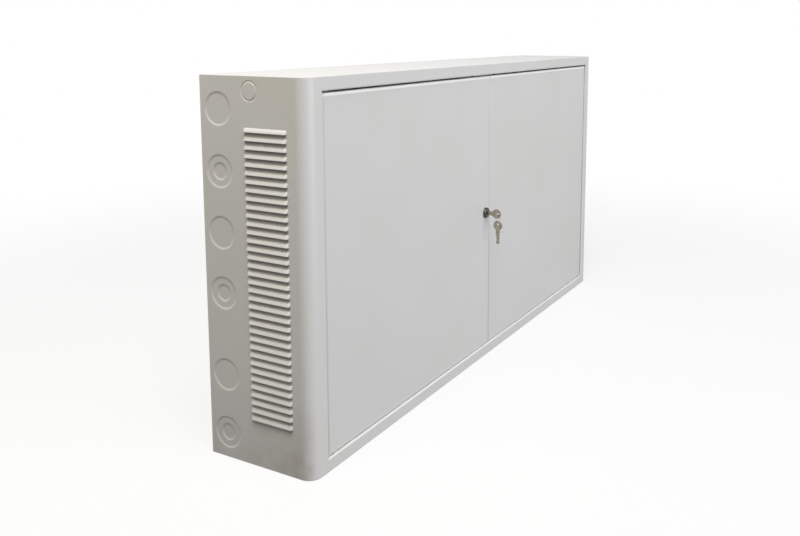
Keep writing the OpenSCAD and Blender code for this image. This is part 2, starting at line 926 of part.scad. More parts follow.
module cam_screw() {
    color(zinc) at_lock() translate([0, 0, -cam_far]) {
        translate([0, 0, -cam_screw_head_h]) cylinder(r = cam_screw_head_r, h = cam_screw_head_h);
        cylinder(r = cam_screw_r, h = cam_screw_len);
    }
}

// Flat stock of the keys
module key_stock() {
    linear_extrude(key_t, center = true) children();
}

// One cut in the edge of a key's blade
module key_cut(half, deep) {
    polygon([[-half, over], [half, over], [half / 3, -deep], [-half / 3, -deep]]);
}

// Flat key with its shoulder at 0, bow towards +X and blade towards -X
module key_shape() {
    cut = blade_h / 4;
    difference() {
        union() {
            key_stock() translate([0, -neck_half]) square([bow_at, 2 * neck_half]);
            translate([bow_at, 0]) key_stock() circle(r = bow_r);
            key_stock() polygon([
                [over, blade_h / 2], [over, -blade_h / 2], [cut - blade_len, -blade_h / 2],
                [-blade_len, 0], [cut - blade_len, blade_h / 2]
            ]);
        }
        translate([hole_at, 0, -key_t]) cylinder(r = key_hole_r, h = 2 * key_t);
        for (i = [1:key_cuts]) translate([-i * blade_len / (key_cuts + 2), blade_h / 2, -key_t])
            linear_extrude(2 * key_t) key_cut(cut, cut * (1 + i % 2) / 2);
    }
}

module door_key() {
    color(key_metal)
        translate([lock_x, door_front - shoulder, lock_z]) rotate([90, 0, -90]) key_shape();
}

module key_ring() {
    color(zinc)
        translate([lock_x, ring_y, ring_z]) rotate([90, 0, 0])
            rotate_extrude() translate([ring_r, 0]) circle(r = ring_wire);
}

// Hangs with its bow up on the bottom of the ring
module spare_key() {
    color(key_metal)
        translate([lock_x, ring_y, spare_hole_z - hole_at]) rotate([0, -90, 0]) key_shape();
}

// Strap folded to two ears that the bolt slides through
module bolt_guide() {
    reach = bolt_y + bolt_r + guide_t - door_inner;
    difference() {
        translate([bolt_x, door_inner, guide_low]) union() {
            translate([-guide_w / 2, 0, 0]) cube([guide_w, guide_t, guide_len]);
            translate([-guide_w / 2, 0, 0]) cube([guide_w, reach, guide_t]);
            translate([-guide_w / 2, 0, guide_len - guide_t]) cube([guide_w, reach, guide_t]);
        }
        translate([bolt_x, bolt_y, guide_low - over])
            cylinder(r = bolt_r + bolt_fit, h = guide_len + 2 * over);
    }
}

module bolt_guides() {
    color(zinc) at_doors() both_ends() bolt_guide();
}

// Round bolt, drawn back, with a thumb pin pointing into the cabinet
module slide_bolt() {
    translate([bolt_x, bolt_y, bolt_low]) cylinder(r = bolt_r, h = bolt_tip - bolt_low);
    rod_y(bolt_x, bolt_y, thumb_z, thumb_r, thumb_len);
}

module upper_bolt() {
    color(zinc) at_doors() slide_bolt();
}

module lower_bolt() {
    color(zinc) at_doors() mirror([0, 0, 1]) slide_bolt();
}

front_frame();
left_side();
right_side();
rear_pan();
left_bay_outer_rail();
left_bay_inner_rail();
right_bay_inner_rail();
right_bay_outer_rail();
rail_studs();
rail_nuts();
ground_bar();
ground_standoffs();
ground_screws();
upper_door_stop();
lower_door_stop();
door_bumpers();
hinge_pins();
left_door();
left_door_stiffener();
left_hinge_plates();
left_hinge_bushes();
lock_housing();
lock_nut();
lock_plug();
lock_cam();
cam_screw();
door_key();
key_ring();
spare_key();
right_door();
right_door_stiffener();
right_hinge_plates();
right_hinge_bushes();
bolt_guides();
upper_bolt();
lower_bolt();
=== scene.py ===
import math
import bmesh
import bpy
from mathutils import Euler, Matrix, Vector, geometry


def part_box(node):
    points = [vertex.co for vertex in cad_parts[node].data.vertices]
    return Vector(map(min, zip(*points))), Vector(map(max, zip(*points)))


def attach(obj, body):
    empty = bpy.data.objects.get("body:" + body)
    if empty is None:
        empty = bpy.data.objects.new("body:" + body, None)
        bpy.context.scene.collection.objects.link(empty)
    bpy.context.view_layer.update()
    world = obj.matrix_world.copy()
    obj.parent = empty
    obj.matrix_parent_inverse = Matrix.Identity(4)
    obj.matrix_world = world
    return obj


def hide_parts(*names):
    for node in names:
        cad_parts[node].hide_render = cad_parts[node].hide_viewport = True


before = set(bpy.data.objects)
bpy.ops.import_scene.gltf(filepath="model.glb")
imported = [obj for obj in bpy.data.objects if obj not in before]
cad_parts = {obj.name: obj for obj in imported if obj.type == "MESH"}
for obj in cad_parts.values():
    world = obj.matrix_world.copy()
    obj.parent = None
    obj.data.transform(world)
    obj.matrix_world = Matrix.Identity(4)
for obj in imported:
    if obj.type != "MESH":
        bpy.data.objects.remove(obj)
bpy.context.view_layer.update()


def mm(value):
    return value / 1000


weld = mm(0.001)  # points nearer than this are one point


def paintColour(red, green, blue):  # screen levels to scene values
    def one(level):
        level = level / 255
        return level / 12.92 if level <= 0.04045 else ((level + 0.055) / 1.055) ** 2.4
    return (one(red), one(green), one(blue), 1.0)


# Node trees: Wire carries a value and does sums, Bench adds any other node
class Wire:
    def __init__(self, bench, socket):
        self.bench, self.socket = bench, socket

    def sum(self, operation, first, second=None):
        values = {0: first} if second is None else {0: first, 1: second}
        return self.bench.get("ShaderNodeMath", {"operation": operation}, values)

    def __add__(self, other):
        return self.sum("ADD", self, other)

    def __radd__(self, other):
        return self.sum("ADD", other, self)

    def __sub__(self, other):
        return self.sum("SUBTRACT", self, other)

    def __rsub__(self, other):
        return self.sum("SUBTRACT", other, self)

    def __mul__(self, other):
        return self.sum("MULTIPLY", self, other)

    def __rmul__(self, other):
        return self.sum("MULTIPLY", other, self)

    def __truediv__(self, other):
        return self.sum("DIVIDE", self, other)

    def __rtruediv__(self, other):
        return self.sum("DIVIDE", other, self)

    def __neg__(self):
        return self.sum("MULTIPLY", self, -1.0)

    def __abs__(self):
        return self.sum("ABSOLUTE", self)

    def above(self, other):
        return self.sum("MAXIMUM", self, other)

    def root(self):
        return self.sum("SQRT", self)

    def fraction(self):
        return self.sum("FRACT", self)

    def rise(self, low, high):  # soft step from 0 at low to 1 at high
        return self.bench.get(
            "ShaderNodeMapRange", {"interpolation_type": "SMOOTHSTEP", "clamp": True},
            {"Value": self, "From Min": low, "From Max": high, "To Min": 0.0, "To Max": 1.0})

    def fall(self, low, high):
        return 1 - self.rise(low, high)


class Bench:
    def __init__(self, tree):
        self.tree = tree

    def make(self, kind, settings=None, values=None):
        node = self.tree.nodes.new(kind)
        for key, setting in (settings or {}).items():
            setattr(node, key, setting)
        for key, value in (values or {}).items():
            socket = node.inputs[key]
            if isinstance(value, Wire):
                self.tree.links.new(value.socket, socket)
            else:
                socket.default_value = value
        return node

    def get(self, kind, settings=None, values=None, out=0):
        return self.out(self.make(kind, settings, values), out)

    def out(self, node, name=0):
        return Wire(self, node.outputs[name])

    def link(self, wire, node, name):
        self.tree.links.new(wire.socket, node.inputs[name])

    def seenRay(self):  # 1 for the rays that show the backdrop
        ray = self.make("ShaderNodeLightPath")
        mirrored = self.out(ray, "Is Glossy Ray").above(self.out(ray, "Is Transmission Ray"))
        return self.out(ray, "Is Camera Ray").above(mirrored)


class Finish(Bench):  # a material: surface values plus the usual patterns
    def __init__(self, name, constants):
        self.material = bpy.data.materials.new(name)
        self.material.use_nodes = True
        super().__init__(self.material.node_tree)
        self.shader = self.tree.nodes["Principled BSDF"]
        for key, value in constants.items():
            self.shader.inputs[key].default_value = value
        self.place = self.get("ShaderNodeTexCoord", out="Object")

    def axes(self):
        parts = self.make("ShaderNodeSeparateXYZ", values={0: self.place})
        return [self.out(parts, i) for i in range(3)]

    def noise(self, scale, detail=2.0, rough=0.5):
        return self.get("ShaderNodeTexNoise", values={
            "Vector": self.place, "Scale": scale, "Detail": detail, "Roughness": rough})

    def streaks(self, stretch, detail, rough):  # noise drawn out along the axis with the least scale
        drawn = self.get("ShaderNodeMapping", values={"Vector": self.place, "Scale": stretch})
        return self.get("ShaderNodeTexNoise", values={
            "Vector": drawn, "Scale": 1.0, "Detail": detail, "Roughness": rough})

    def mix(self, factor, first, second):
        return self.get("ShaderNodeMix", {"data_type": "RGBA"},
                        {"Factor": factor, 6: first, 7: second}, out=2)

    def bump(self, height, strength, distance):
        return self.get("ShaderNodeBump", values={
            "Height": height, "Strength": strength, "Distance": distance})

    def feed(self, **wires):
        sockets = {"colour": "Base Color", "rough": "Roughness", "normal": "Normal"}
        for key, wire in wires.items():
            self.link(wire, self.shader, sockets[key])
        return self.material


# Mesh helpers
def newObject(name, mesh, material=None):
    made = bpy.data.objects.new(name, mesh)
    bpy.context.scene.collection.objects.link(made)
    if material:
        mesh.materials.clear()
        mesh.materials.append(material)
    return made


def meshFrom(shape, name):  # a finished bmesh becomes a mesh
    mesh = bpy.data.meshes.new(name)
    shape.to_mesh(mesh)
    shape.free()
    return mesh


def bake(made):  # live modifiers become a plain mesh
    bpy.context.view_layer.update()
    ready = made.evaluated_get(bpy.context.evaluated_depsgraph_get())
    mesh = bpy.data.meshes.new_from_object(ready)
    old = made.data
    made.modifiers.clear()
    made.data = mesh
    bpy.data.meshes.remove(old)
    mesh.name = made.name
    return made


def cutAway(made, cutter):
    cut = made.modifiers.new("cut", "BOOLEAN")
    cut.operation, cut.solver, cut.object = "DIFFERENCE", "EXACT", cutter
    bake(made)
    bpy.data.objects.remove(cutter)


def softShade(made, crease):  # smooth bends, crisp folds, flat sheets kept flat
    for face in made.data.polygons:
        face.use_smooth = True
    made.data.set_sharp_from_angle(angle=math.radians(crease))
    weighted = made.modifiers.new("weighted", "WEIGHTED_NORMAL")
    weighted.keep_sharp = True
    weighted.weight = 80
    return bake(made)


def putOn(made, body, slot, *nodes):
    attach(made, body)
    if nodes:
        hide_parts(*nodes)
    return made


# Wrapper: both sides, the rolled corners and the front, laid out flat and folded round
wrapper = {
    "thick": mm(1.5), "corner": mm(22), "arcSteps": 16, "edge": mm(0.9), "edgeTurns": (90, 60, 30),
    "openHalfWide": mm(569.5), "openHalfTall": mm(283.5), "returnDeep": mm(22),
    "bend": mm(2.5), "bendSteps": 6,
    "bigRing": mm(27), "smallRing": mm(14.8), "ringBack": mm(35), "ringSides": 72,
    "ringHeights": [mm(z) for z in (254, 158, 62, -34, -167, -263)],
    "ringStep": mm(1.1), "ringSlope": mm(4.2), "ringEase": 0.2, "ringRows": (0, 0.1, 0.2, 0.5, 0.8, 0.9, 1),
    "grooveBack": mm(97.5), "grooveHeight": mm(282.5), "grooveRadius": mm(14.5), "grooveWide": mm(4.0),
    "grooveRows": (-1, -0.5, 0, 0.5, 1), "grooveSides": 56,
    "boltHoles": [(mm(30.6), mm(-192), mm(284)), (mm(30.6), mm(-192), mm(-284))],
    "boltHoleRadius": mm(3.5), "boltHoleDeep": mm(6), "boltHoleSides": 40, "crease": 32,
}
louvre = {
    "count": 36, "pitch": mm(12.85), "long": mm(80), "tall": mm(6.2), "standOut": mm(4.3), "wall": mm(1.1),
    "endRound": mm(2.6), "middleBack": mm(126.5), "sunk": mm(0.02), "rowsAlong": 27, "rowsDown": 9,
    "bulgeOut": 0.5, "bulgeUp": 0.23, "crease": 40,
    "slotTall": mm(4.9), "slotShort": mm(1.4), "slotRound": mm(2),
}
shellLow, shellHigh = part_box("front_frame")
halfWide, halfTall, deep = shellHigh.x, shellHigh.z, -shellLow.y
louvreFoot = [(i - (louvre["count"] - 1) / 2) * louvre["pitch"] - louvre["tall"] / 2
              for i in range(louvre["count"])]


def makeWrapper(material):
    s = wrapper
    corner, thick = s["corner"], s["thick"]
    flat, arc, front = deep - corner, corner * math.pi / 2, 2 * (halfWide - corner)
    total = 2 * flat + 2 * arc + front

    def fold(along, z, sunk):
        if along <= flat:
            return Vector((sunk - halfWide, -along, z))
        if along <= flat + arc:
            turn = (along - flat) / corner
            return Vector((corner - halfWide - (corner - sunk) * math.cos(turn),
                           corner - deep - (corner - sunk) * math.sin(turn), z))
        if along <= flat + arc + front:
            return Vector((corner - halfWide + along - flat - arc, sunk - deep, z))
        if along <= flat + 2 * arc + front:
            turn = (along - flat - arc - front) / corner
            return Vector((halfWide - corner + (corner - sunk) * math.sin(turn),
                           corner - deep - (corner - sunk) * math.cos(turn), z))
        return Vector((halfWide - sunk, along - total, z))

    def step(radius, away):  # depth of one pressed step at a distance from its centre
        ease = s["ringEase"]
        share = min(max((radius - away) / s["ringSlope"], 0), 1)
        low = min(share, 1 - share)  # straight slope, rounded at each end
        part = low * low / (2 * ease * (1 - ease)) if low < ease else (low - ease / 2) / (1 - ease)
        return s["ringStep"] * (part if share < 0.5 else 1 - part)

    def pressed(along, z):
        back = min(along, total - along)
        sunk = 0.0
        for i, height in enumerate(s["ringHeights"]):
            away = math.hypot(back - s["ringBack"], z - height)
            sunk += step(s["bigRing"], away) + (step(s["smallRing"], away) if i % 2 else 0)
        off = abs(math.hypot(back - s["grooveBack"], z - s["grooveHeight"]) - s["grooveRadius"])
        share = max(0, 1 - 2 * off / s["grooveWide"])
        return sunk + s["ringStep"] * (1 - math.cos(math.pi * share)) / 2

    def eased(z):  # rounding ground on the upper and lower edges
        near = halfTall - abs(z)
        return s["edge"] - math.sqrt(max(s["edge"] ** 2 - max(s["edge"] - near, 0) ** 2, 0))

    points, edges = [], []

    def line(path, closed=True):
        first = len(points)
        points.extend(Vector(p) for p in path)
        count = len(path)
        edges.extend((first + i, first + (i + 1) % count) for i in range(count if closed else count - 1))

    def ring(middle, radius, count):
        line([(middle[0] + radius * math.cos(2 * math.pi * i / count),
               middle[1] + radius * math.sin(2 * math.pi * i / count)) for i in range(count)])

    line([(0, -halfTall), (total, -halfTall), (total, halfTall), (0, halfTall)])
    for turn in s["edgeTurns"]:  # lines where the edge rounding bends
        inset = s["edge"] * (1 - math.cos(math.radians(turn)))
        for z in (halfTall - inset, inset - halfTall):
            line([(0, z), (total, z)], False)
    for i in range(s["arcSteps"] + 1):
        for along in (flat + arc * i / s["arcSteps"], flat + arc + front + arc * i / s["arcSteps"]):
            line([(along, -halfTall), (along, halfTall)], False)
    reach = Vector((s["openHalfWide"] + s["bend"], s["openHalfTall"] + s["bend"]))
    middle = total / 2
    line([(middle - reach.x, -reach.y), (middle + reach.x, -reach.y),
          (middle + reach.x, reach.y), (middle - reach.x, reach.y)])
    slotHalf, curve = louvre["long"] / 2 - louvre["slotShort"], louvre["slotRound"]
    for side in (lambda back: back, lambda back: total - back):
        for i, height in enumerate(s["ringHeights"]):
            for radius in (s["bigRing"], s["smallRing"])[:1 + i % 2]:
                for share in s["ringRows"]:
                    ring((side(s["ringBack"]), height), radius - share * s["ringSlope"], s["ringSides"])
        for share in s["grooveRows"]:
            radius = s["grooveRadius"] + share * s["grooveWide"] / 2
            ring((side(s["grooveBack"]), s["grooveHeight"]), radius, s["grooveSides"])
        for low in louvreFoot:
            high = low + louvre["slotTall"]
            path = []
            for cx, cz, start in ((slotHalf - curve, high - curve, 0), (curve - slotHalf, high - curve, 90),
                                  (curve - slotHalf, low + curve, 180), (slotHalf - curve, low + curve, 270)):
                for turn in (0, 30, 60, 90):
                    a = math.radians(start + turn)
                    path.append((side(louvre["middleBack"]) + cx + curve * math.cos(a),
                                 cz + curve * math.sin(a)))
            line(path)

    flatPoints, _, cells = geometry.delaunay_2d_cdt(points, edges, [], 0, weld / 10)[:3]

    def isOpen(cell):
        along = sum(flatPoints[i][0] for i in cell) / 3
        z = sum(flatPoints[i][1] for i in cell) / 3
        if abs(along - middle) < reach.x and abs(z) < reach.y:
            return True
        back = min(along, total - along)
        if abs(back - louvre["middleBack"]) > slotHalf:
            return False
        return any(foot < z < foot + louvre["slotTall"] for foot in louvreFoot)

    def atDoors(point):  # on the edge of the door opening, which is folded below
        return abs(point[0] - middle) < reach.x + 10 * weld and abs(point[1]) < reach.y + 10 * weld

    shape = bmesh.new()
    outer, inner = [], []
    for along, z in flatPoints:
        dent = pressed(along, z)
        outer.append(shape.verts.new(fold(along, z, dent + eased(z))))
        inner.append(shape.verts.new(fold(along, z, dent + thick)))
    uses = {}
    for cell in cells:
        if isOpen(cell):
            continue
        shape.faces.new([outer[i] for i in cell])
        shape.faces.new([inner[i] for i in reversed(cell)])
        for a, b in zip(cell, list(cell[1:]) + [cell[0]]):
            uses.setdefault(frozenset((a, b)), []).append((a, b))
    for sides in uses.values():
        a, b = sides[0]
        if len(sides) == 1 and not (atDoors(flatPoints[a]) and atDoors(flatPoints[b])):
            shape.faces.new([outer[b], outer[a], inner[a], inner[b]])
    bend = s["bend"]
    turns = [math.radians(90 * i / s["bendSteps"]) for i in range(s["bendSteps"] + 1)]
    path = [(bend * (math.sin(t) - 1), bend * (1 - math.cos(t))) for t in turns] + [(0, s["returnDeep"])]
    path.append((-thick, s["returnDeep"]))
    inside = bend - thick
    path += [(inside * math.sin(t) - bend, bend - inside * math.cos(t)) for t in reversed(turns)]
    loops = []
    for across, inward in path:
        wide, tall = s["openHalfWide"] - across, s["openHalfTall"] - across
        loops.append([shape.verts.new((sx * wide, inward - deep, sz * tall))
                      for sx, sz in ((-1, -1), (1, -1), (1, 1), (-1, 1))])
    for near, far in zip(loops, loops[1:]):
        for i in range(4):
            shape.faces.new([near[i], near[(i + 1) % 4], far[(i + 1) % 4], far[i]])
    bmesh.ops.remove_doubles(shape, verts=shape.verts, dist=weld)
    bmesh.ops.delete(shape, geom=[v for v in shape.verts if not v.link_faces], context="VERTS")
    bmesh.ops.recalc_face_normals(shape, faces=shape.faces)
    made = newObject("cabinetWrapper", meshFrom(shape, "cabinetWrapper"), material)
    drills = bmesh.new()
    for hole in s["boltHoles"]:
        bmesh.ops.create_cone(drills, cap_ends=True, segments=s["boltHoleSides"], radius1=s["boltHoleRadius"],
                              radius2=s["boltHoleRadius"], depth=s["boltHoleDeep"],
                              matrix=Matrix.Translation(hole))
    cutAway(made, newObject("drills", meshFrom(drills, "drills")))
    softShade(made, s["crease"])
    return putOn(made, "cabinet", "painted_steel", "front_frame", "left_side", "right_side")


# Finishes; a noise is given as scale, detail and roughness
powderCoat = {
    "colour": paintColour(208, 208, 208), "warmer": paintColour(206, 205, 202), "rough": 0.44,
    "tone": (5.0, 3.0), "toneStep": (0.3, 0.75), "toneRough": 0.1,
    "peel": (620.0, 2.0, 0.45), "peelStrength": 0.35, "peelDepth": mm(0.05),
    # this brown is used for grime specks and patches, and for painted shade low on the left side and along
    # the door gaps
    "grimeAndShade": paintColour(118, 104, 92), "lowShadeAndGrimeStrength": 0.5, "lowShadeAndGrimeRough": 0.2,
    "lowShadeAndGrimeWall": (mm(1), mm(13.5)), "lowShadeAndGrimeHeight": (mm(-340), mm(-130)), "lowShadeAndGrimeFront": (mm(-180), mm(-50)),
    "lowShadeAndGrimeShares": (0.24, 0.2, 0.5), "scuff": (26.0, 6.0, 0.62), "scuffStep": (0.34, 0.72),
    "speck": (900.0, 1.0), "speckStep": (0.72, 0.78), "speckPatch": (26.0, 2.0), "patchStep": (0.5, 0.7),
    "speckStrength": 0.12,
}
# painted highlights on the door tops and the sill, painted shade along the upright door gaps
doorPaintedLight = {
    "paintedHighlight": paintColour(251, 250, 247), "edgeWide": mm(6.2), "edgeStrength": 0.95,
    "sillDeep": mm(8), "sillShares": (0.1, 0.5),
    "seamWide": mm(4.4), "hingeGap": mm(1.5), "hingeClear": mm(0.6), "meetingClear": mm(0.8),
    "meetingShare": 0.55, "seamStrength": 0.24,
}
# painted shade on the wall under each louvre hood
ventShade = {
    "colour": paintColour(104, 82, 70), "strength": 0.6, "step": (0.5, 0.84),
    "wallDeep": mm(0.9), "endShort": mm(0.5), "soft": mm(2),
}


def lowShadeAndGrime(f, x, y, z):  # painted shade darkening the lower left side, plus grime patches thicker towards the front
    look = powderCoat
    near, far = look["lowShadeAndGrimeWall"]
    onSide = x.fall(near - halfWide, far - halfWide) * z.fall(*look["lowShadeAndGrimeHeight"])
    # the even share is painted shade; the patch shares are grime
    evenShade, scuffed, front = look["lowShadeAndGrimeShares"]
    patches = f.noise(*look["scuff"]).rise(*look["scuffStep"])
    return onSide * (evenShade + patches * (scuffed + front * y.fall(*look["lowShadeAndGrimeFront"])))


def paintDoorLight(f, colour, x, y, z):
    look = doorPaintedLight
    low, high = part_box("left_door")
    onFront = y.fall(low.y + mm(2), low.y + mm(3))
    topEdge = onFront * abs(x).fall(-low.x, -low.x + mm(1)) * z.fall(high.z, high.z + mm(1))
    topEdge = topEdge * z.rise(high.z - look["edgeWide"], high.z - look["edgeWide"] / 2)
    colour = f.mix(topEdge * look["edgeStrength"], colour, look["paintedHighlight"])  # painted highlight along the door tops
    sillTop, sillBack = -wrapper["openHalfTall"], low.y + look["sillDeep"]
    sillFoot = sillTop - wrapper["bend"]
    sill = z.rise(sillFoot - mm(0.6), sillFoot + mm(0.2)) * z.fall(sillTop + mm(0.4), sillTop + mm(0.8))
    sill = sill * y.fall(sillBack - mm(3), sillBack) * abs(x).fall(-low.x + mm(2), -low.x + mm(3))
    onBend, behind = look["sillShares"]
    sill = sill * (onBend + behind * y.rise(low.y - mm(1.2), low.y))
    colour = f.mix(sill, colour, look["paintedHighlight"])  # painted highlight on the sill under them, which also lightens the shade in the gap below the doors
    hingeSide = abs(x - low.x - look["hingeGap"]).fall(look["hingeClear"], look["seamWide"])
    meeting = abs(x).fall(look["meetingClear"], look["seamWide"])
    seam = onFront * (hingeSide + look["meetingShare"] * meeting) * abs(z).fall(high.z - mm(2), high.z)
    return f.mix(seam * look["seamStrength"], colour, powderCoat["grimeAndShade"])  # painted shade along the upright gaps


def shadeUnderVents(f, colour, x, y, z):  # brown painted shade on the wall under each louvre hood
    look = ventShade
    wall, end, foot = halfWide - look["wallDeep"], louvre["long"] / 2 - look["endShort"], louvreFoot[0]
    inBank = abs(x).rise(wall, wall + mm(0.6)) * abs(z).fall(mm(1) - foot, mm(3) - foot)
    inBank = inBank * abs(y + louvre["middleBack"]).fall(end - look["soft"], end)
    upPitch = ((z - foot) / louvre["pitch"]).fraction()
    return f.mix(inBank * upPitch.rise(*look["step"]) * look["strength"], colour, look["colour"])


def makePowderCoat():
    look = powderCoat
    f = Finish("powderCoat", {"IOR": 1.5})
    x, y, z = f.axes()
    tone = f.noise(*look["tone"])
    colour = f.mix(tone.rise(*look["toneStep"]), look["colour"], look["warmer"])
    # painted shade towards the bottom of the left side, with grime patches
    grimeAndShade = lowShadeAndGrime(f, x, y, z)
    colour = f.mix(grimeAndShade * look["lowShadeAndGrimeStrength"], colour, look["grimeAndShade"])
    # painted highlights and painted shade around the doors
    colour = paintDoorLight(f, colour, x, y, z)
    # painted shade under the louvres
    colour = shadeUnderVents(f, colour, x, y, z)
    specks = f.noise(*look["speck"]).rise(*look["speckStep"])
    specks = specks * f.noise(*look["speckPatch"]).rise(*look["patchStep"])
    colour = f.mix(specks * look["speckStrength"], colour, look["grimeAndShade"])
    rough = look["rough"] + (tone - 0.5) * look["toneRough"] + grimeAndShade * look["lowShadeAndGrimeRough"]
    peel = f.bump(f.noise(*look["peel"]), look["peelStrength"], look["peelDepth"])
    return f.feed(colour=colour, rough=rough, normal=peel)


zincPlate = {
    "colour": paintColour(178, 181, 184), "hazy": paintColour(163, 167, 170),
    "cloud": (90.0, 3.0, 0.5), "cloudStep": (0.3, 0.72),
    "gold": paintColour(178, 172, 158), "tint": (14.0, 2.0), "tintStep": (0.5, 0.76), "tintStrength": 0.3,
    "grain": ((260.0, 260.0, 9.0), 3.0, 0.6), "grainStrength": 0.12, "grainDepth": mm(0.03),
    "rough": 0.33, "cloudRough": 0.05, "grainRough": 0.08, "brushed": 0.2,
}


def makeZincPlate():
    look = zincPlate
    f = Finish("zincPlate", {"Metallic": 1.0, "Anisotropic": look["brushed"]})
    cloud, grain = f.noise(*look["cloud"]), f.streaks(*look["grain"])
    colour = f.mix(cloud.rise(*look["cloudStep"]), look["colour"], look["hazy"])
    tint = f.noise(*look["tint"]).rise(*look["tintStep"])
    colour = f.mix(tint * look["tintStrength"], colour, look["gold"])
    rough = look["rough"] + cloud * look["cloudRough"] + grain * look["grainRough"]
    return f.feed(colour=colour, rough=rough, normal=f.bump(grain, look["grainStrength"], look["grainDepth"]))


copperBar = {
    "colour": paintColour(188, 128, 100), "dull": paintColour(150, 98, 76), "rough": 0.24, "patchRough": 0.22,
    "patch": (70.0, 5.0, 0.6), "patchStep": (0.45, 0.7), "drawn": ((900.0, 900.0, 14.0), 2.0, 0.5),
    "drawnStrength": 0.15, "drawnDepth": mm(0.03),
}


def makeCopper():
    look = copperBar
    f = Finish("copperBar", {"Metallic": 1.0})
    patch, drawn = f.noise(*look["patch"]), f.streaks(*look["drawn"])
    return f.feed(colour=f.mix(patch.rise(*look["patchStep"]), look["colour"], look["dull"]),
                  rough=look["rough"] + patch * look["patchRough"],
                  normal=f.bump(drawn, look["drawnStrength"], look["drawnDepth"]))


mouldings = {  # name: colour, second colour, roughness, grain size, grain depth
    "redInsulator": (paintColour(150, 32, 26), paintColour(128, 26, 22), 0.28, 500.0, mm(0.02)),
    "blackRubber": (paintColour(34, 34, 35), paintColour(46, 45, 44), 0.7, 900.0, mm(0.04)),
    "darkNylon": (paintColour(50, 49, 48), paintColour(62, 60, 58), 0.42, 700.0, mm(0.03)),
}
mouldedSkin = {"blotch": (140.0, 3.0), "blotchStep": (0.35, 0.7), "roughSwing": 0.12, "grainStrength": 0.3}


def makeMoulding(name):
    first, second, rough, grainScale, grainDepth = mouldings[name]
    skin = mouldedSkin
    f = Finish(name, {"IOR": 1.48})
    blotch = f.noise(*skin["blotch"])
    return f.feed(colour=f.mix(blotch.rise(*skin["blotchStep"]), first, second),
                  rough=rough + (blotch - 0.5) * skin["roughSwing"],
                  normal=f.bump(f.noise(grainScale), skin["grainStrength"], grainDepth))


plating = {  # name: colour, worn colour, base roughness, scratch direction
    # the lock's dark chrome colour stands in for a dark room reflected in it: a painted dark reflection
    "lockChrome": (paintColour(86, 82, 84), paintColour(58, 55, 56), 0.1, (60.0, 60.0, 900.0)),
    "keyNickel": (paintColour(182, 173, 159), paintColour(150, 140, 124), 0.24, (900.0, 70.0, 200.0)),
    "ringSteel": (paintColour(176, 174, 170), paintColour(128, 122, 114), 0.2, (300.0, 300.0, 300.0)),
}
platingWear = {
    "rub": (3.0, 0.6), "rubRough": 0.12, "rubStrength": 0.1, "rubDepth": mm(0.02),
    "cloud": (230.0, 3.0), "cloudStep": (0.42, 0.68), "cloudRough": 0.06,
}


def makePlating(name):
    first, worn, rough, direction = plating[name]
    wear = platingWear
    f = Finish(name, {"Metallic": 1.0})
    rub, cloud = f.streaks(direction, *wear["rub"]), f.noise(*wear["cloud"])
    return f.feed(colour=f.mix(cloud.rise(*wear["cloudStep"]), first, worn),
                  rough=rough + rub * wear["rubRough"] + cloud * wear["cloudRough"],
                  normal=f.bump(rub, wear["rubStrength"], wear["rubDepth"]))


coat, zinc, copper = makePowderCoat(), makeZincPlate(), makeCopper()
redInsulator, blackRubber, darkNylon = [makeMoulding(name) for name in mouldings]
lockChrome, keyNickel, ringSteel = [makePlating(name) for name in plating]
print("finishes made:", len(bpy.data.materials))
wrapperPiece = makeWrapper(coat)
print("wrapper folded:", len(wrapperPiece.data.polygons), "faces")


# Geometry Nodes: named inputs, one tree per repeat
class Repeat(Bench):
    def __init__(self, name, sizes):
        tree = bpy.data.node_groups.new(name, "GeometryNodeTree")
        super().__init__(tree)
        self.sockets = {}
        tree.interface.new_socket("Geometry", in_out="INPUT", socket_type="NodeSocketGeometry")
        kinds = {int: "NodeSocketInt", float: "NodeSocketFloat", bpy.types.Material: "NodeSocketMaterial",
                 bpy.types.Object: "NodeSocketObject"}
        for key, value in sizes.items():
            socket = tree.interface.new_socket(key, in_out="INPUT", socket_type=kinds[type(value)])
            self.sockets[key] = socket.identifier
        tree.interface.new_socket("Geometry", in_out="OUTPUT", socket_type="NodeSocketGeometry")
        self.given = tree.nodes.new("NodeGroupInput")
        self.sizes = sizes

    def size(self, key):
        return self.out(self.given, key)

    def vector(self, **parts):  # x, y and z where they aren't 0
        values = {"xyz".index(key): part for key, part in parts.items()}
        return self.get("ShaderNodeCombineXYZ", values=values)

    def close(self, shape, material):
        single = self.get("GeometryNodeRealizeInstances", values={0: shape})
        painted = self.get("GeometryNodeSetMaterial", values={"Geometry": single, "Material": material})
        self.link(painted, self.tree.nodes.new("NodeGroupOutput"), 0)

    def run(self, name, base):
        made = newObject(name, base)
        nodes = made.modifiers.new("repeat", "NODES")
        nodes.node_group = self.tree
        for key, value in self.sizes.items():
            nodes[self.sockets[key]] = value
        return bake(made)


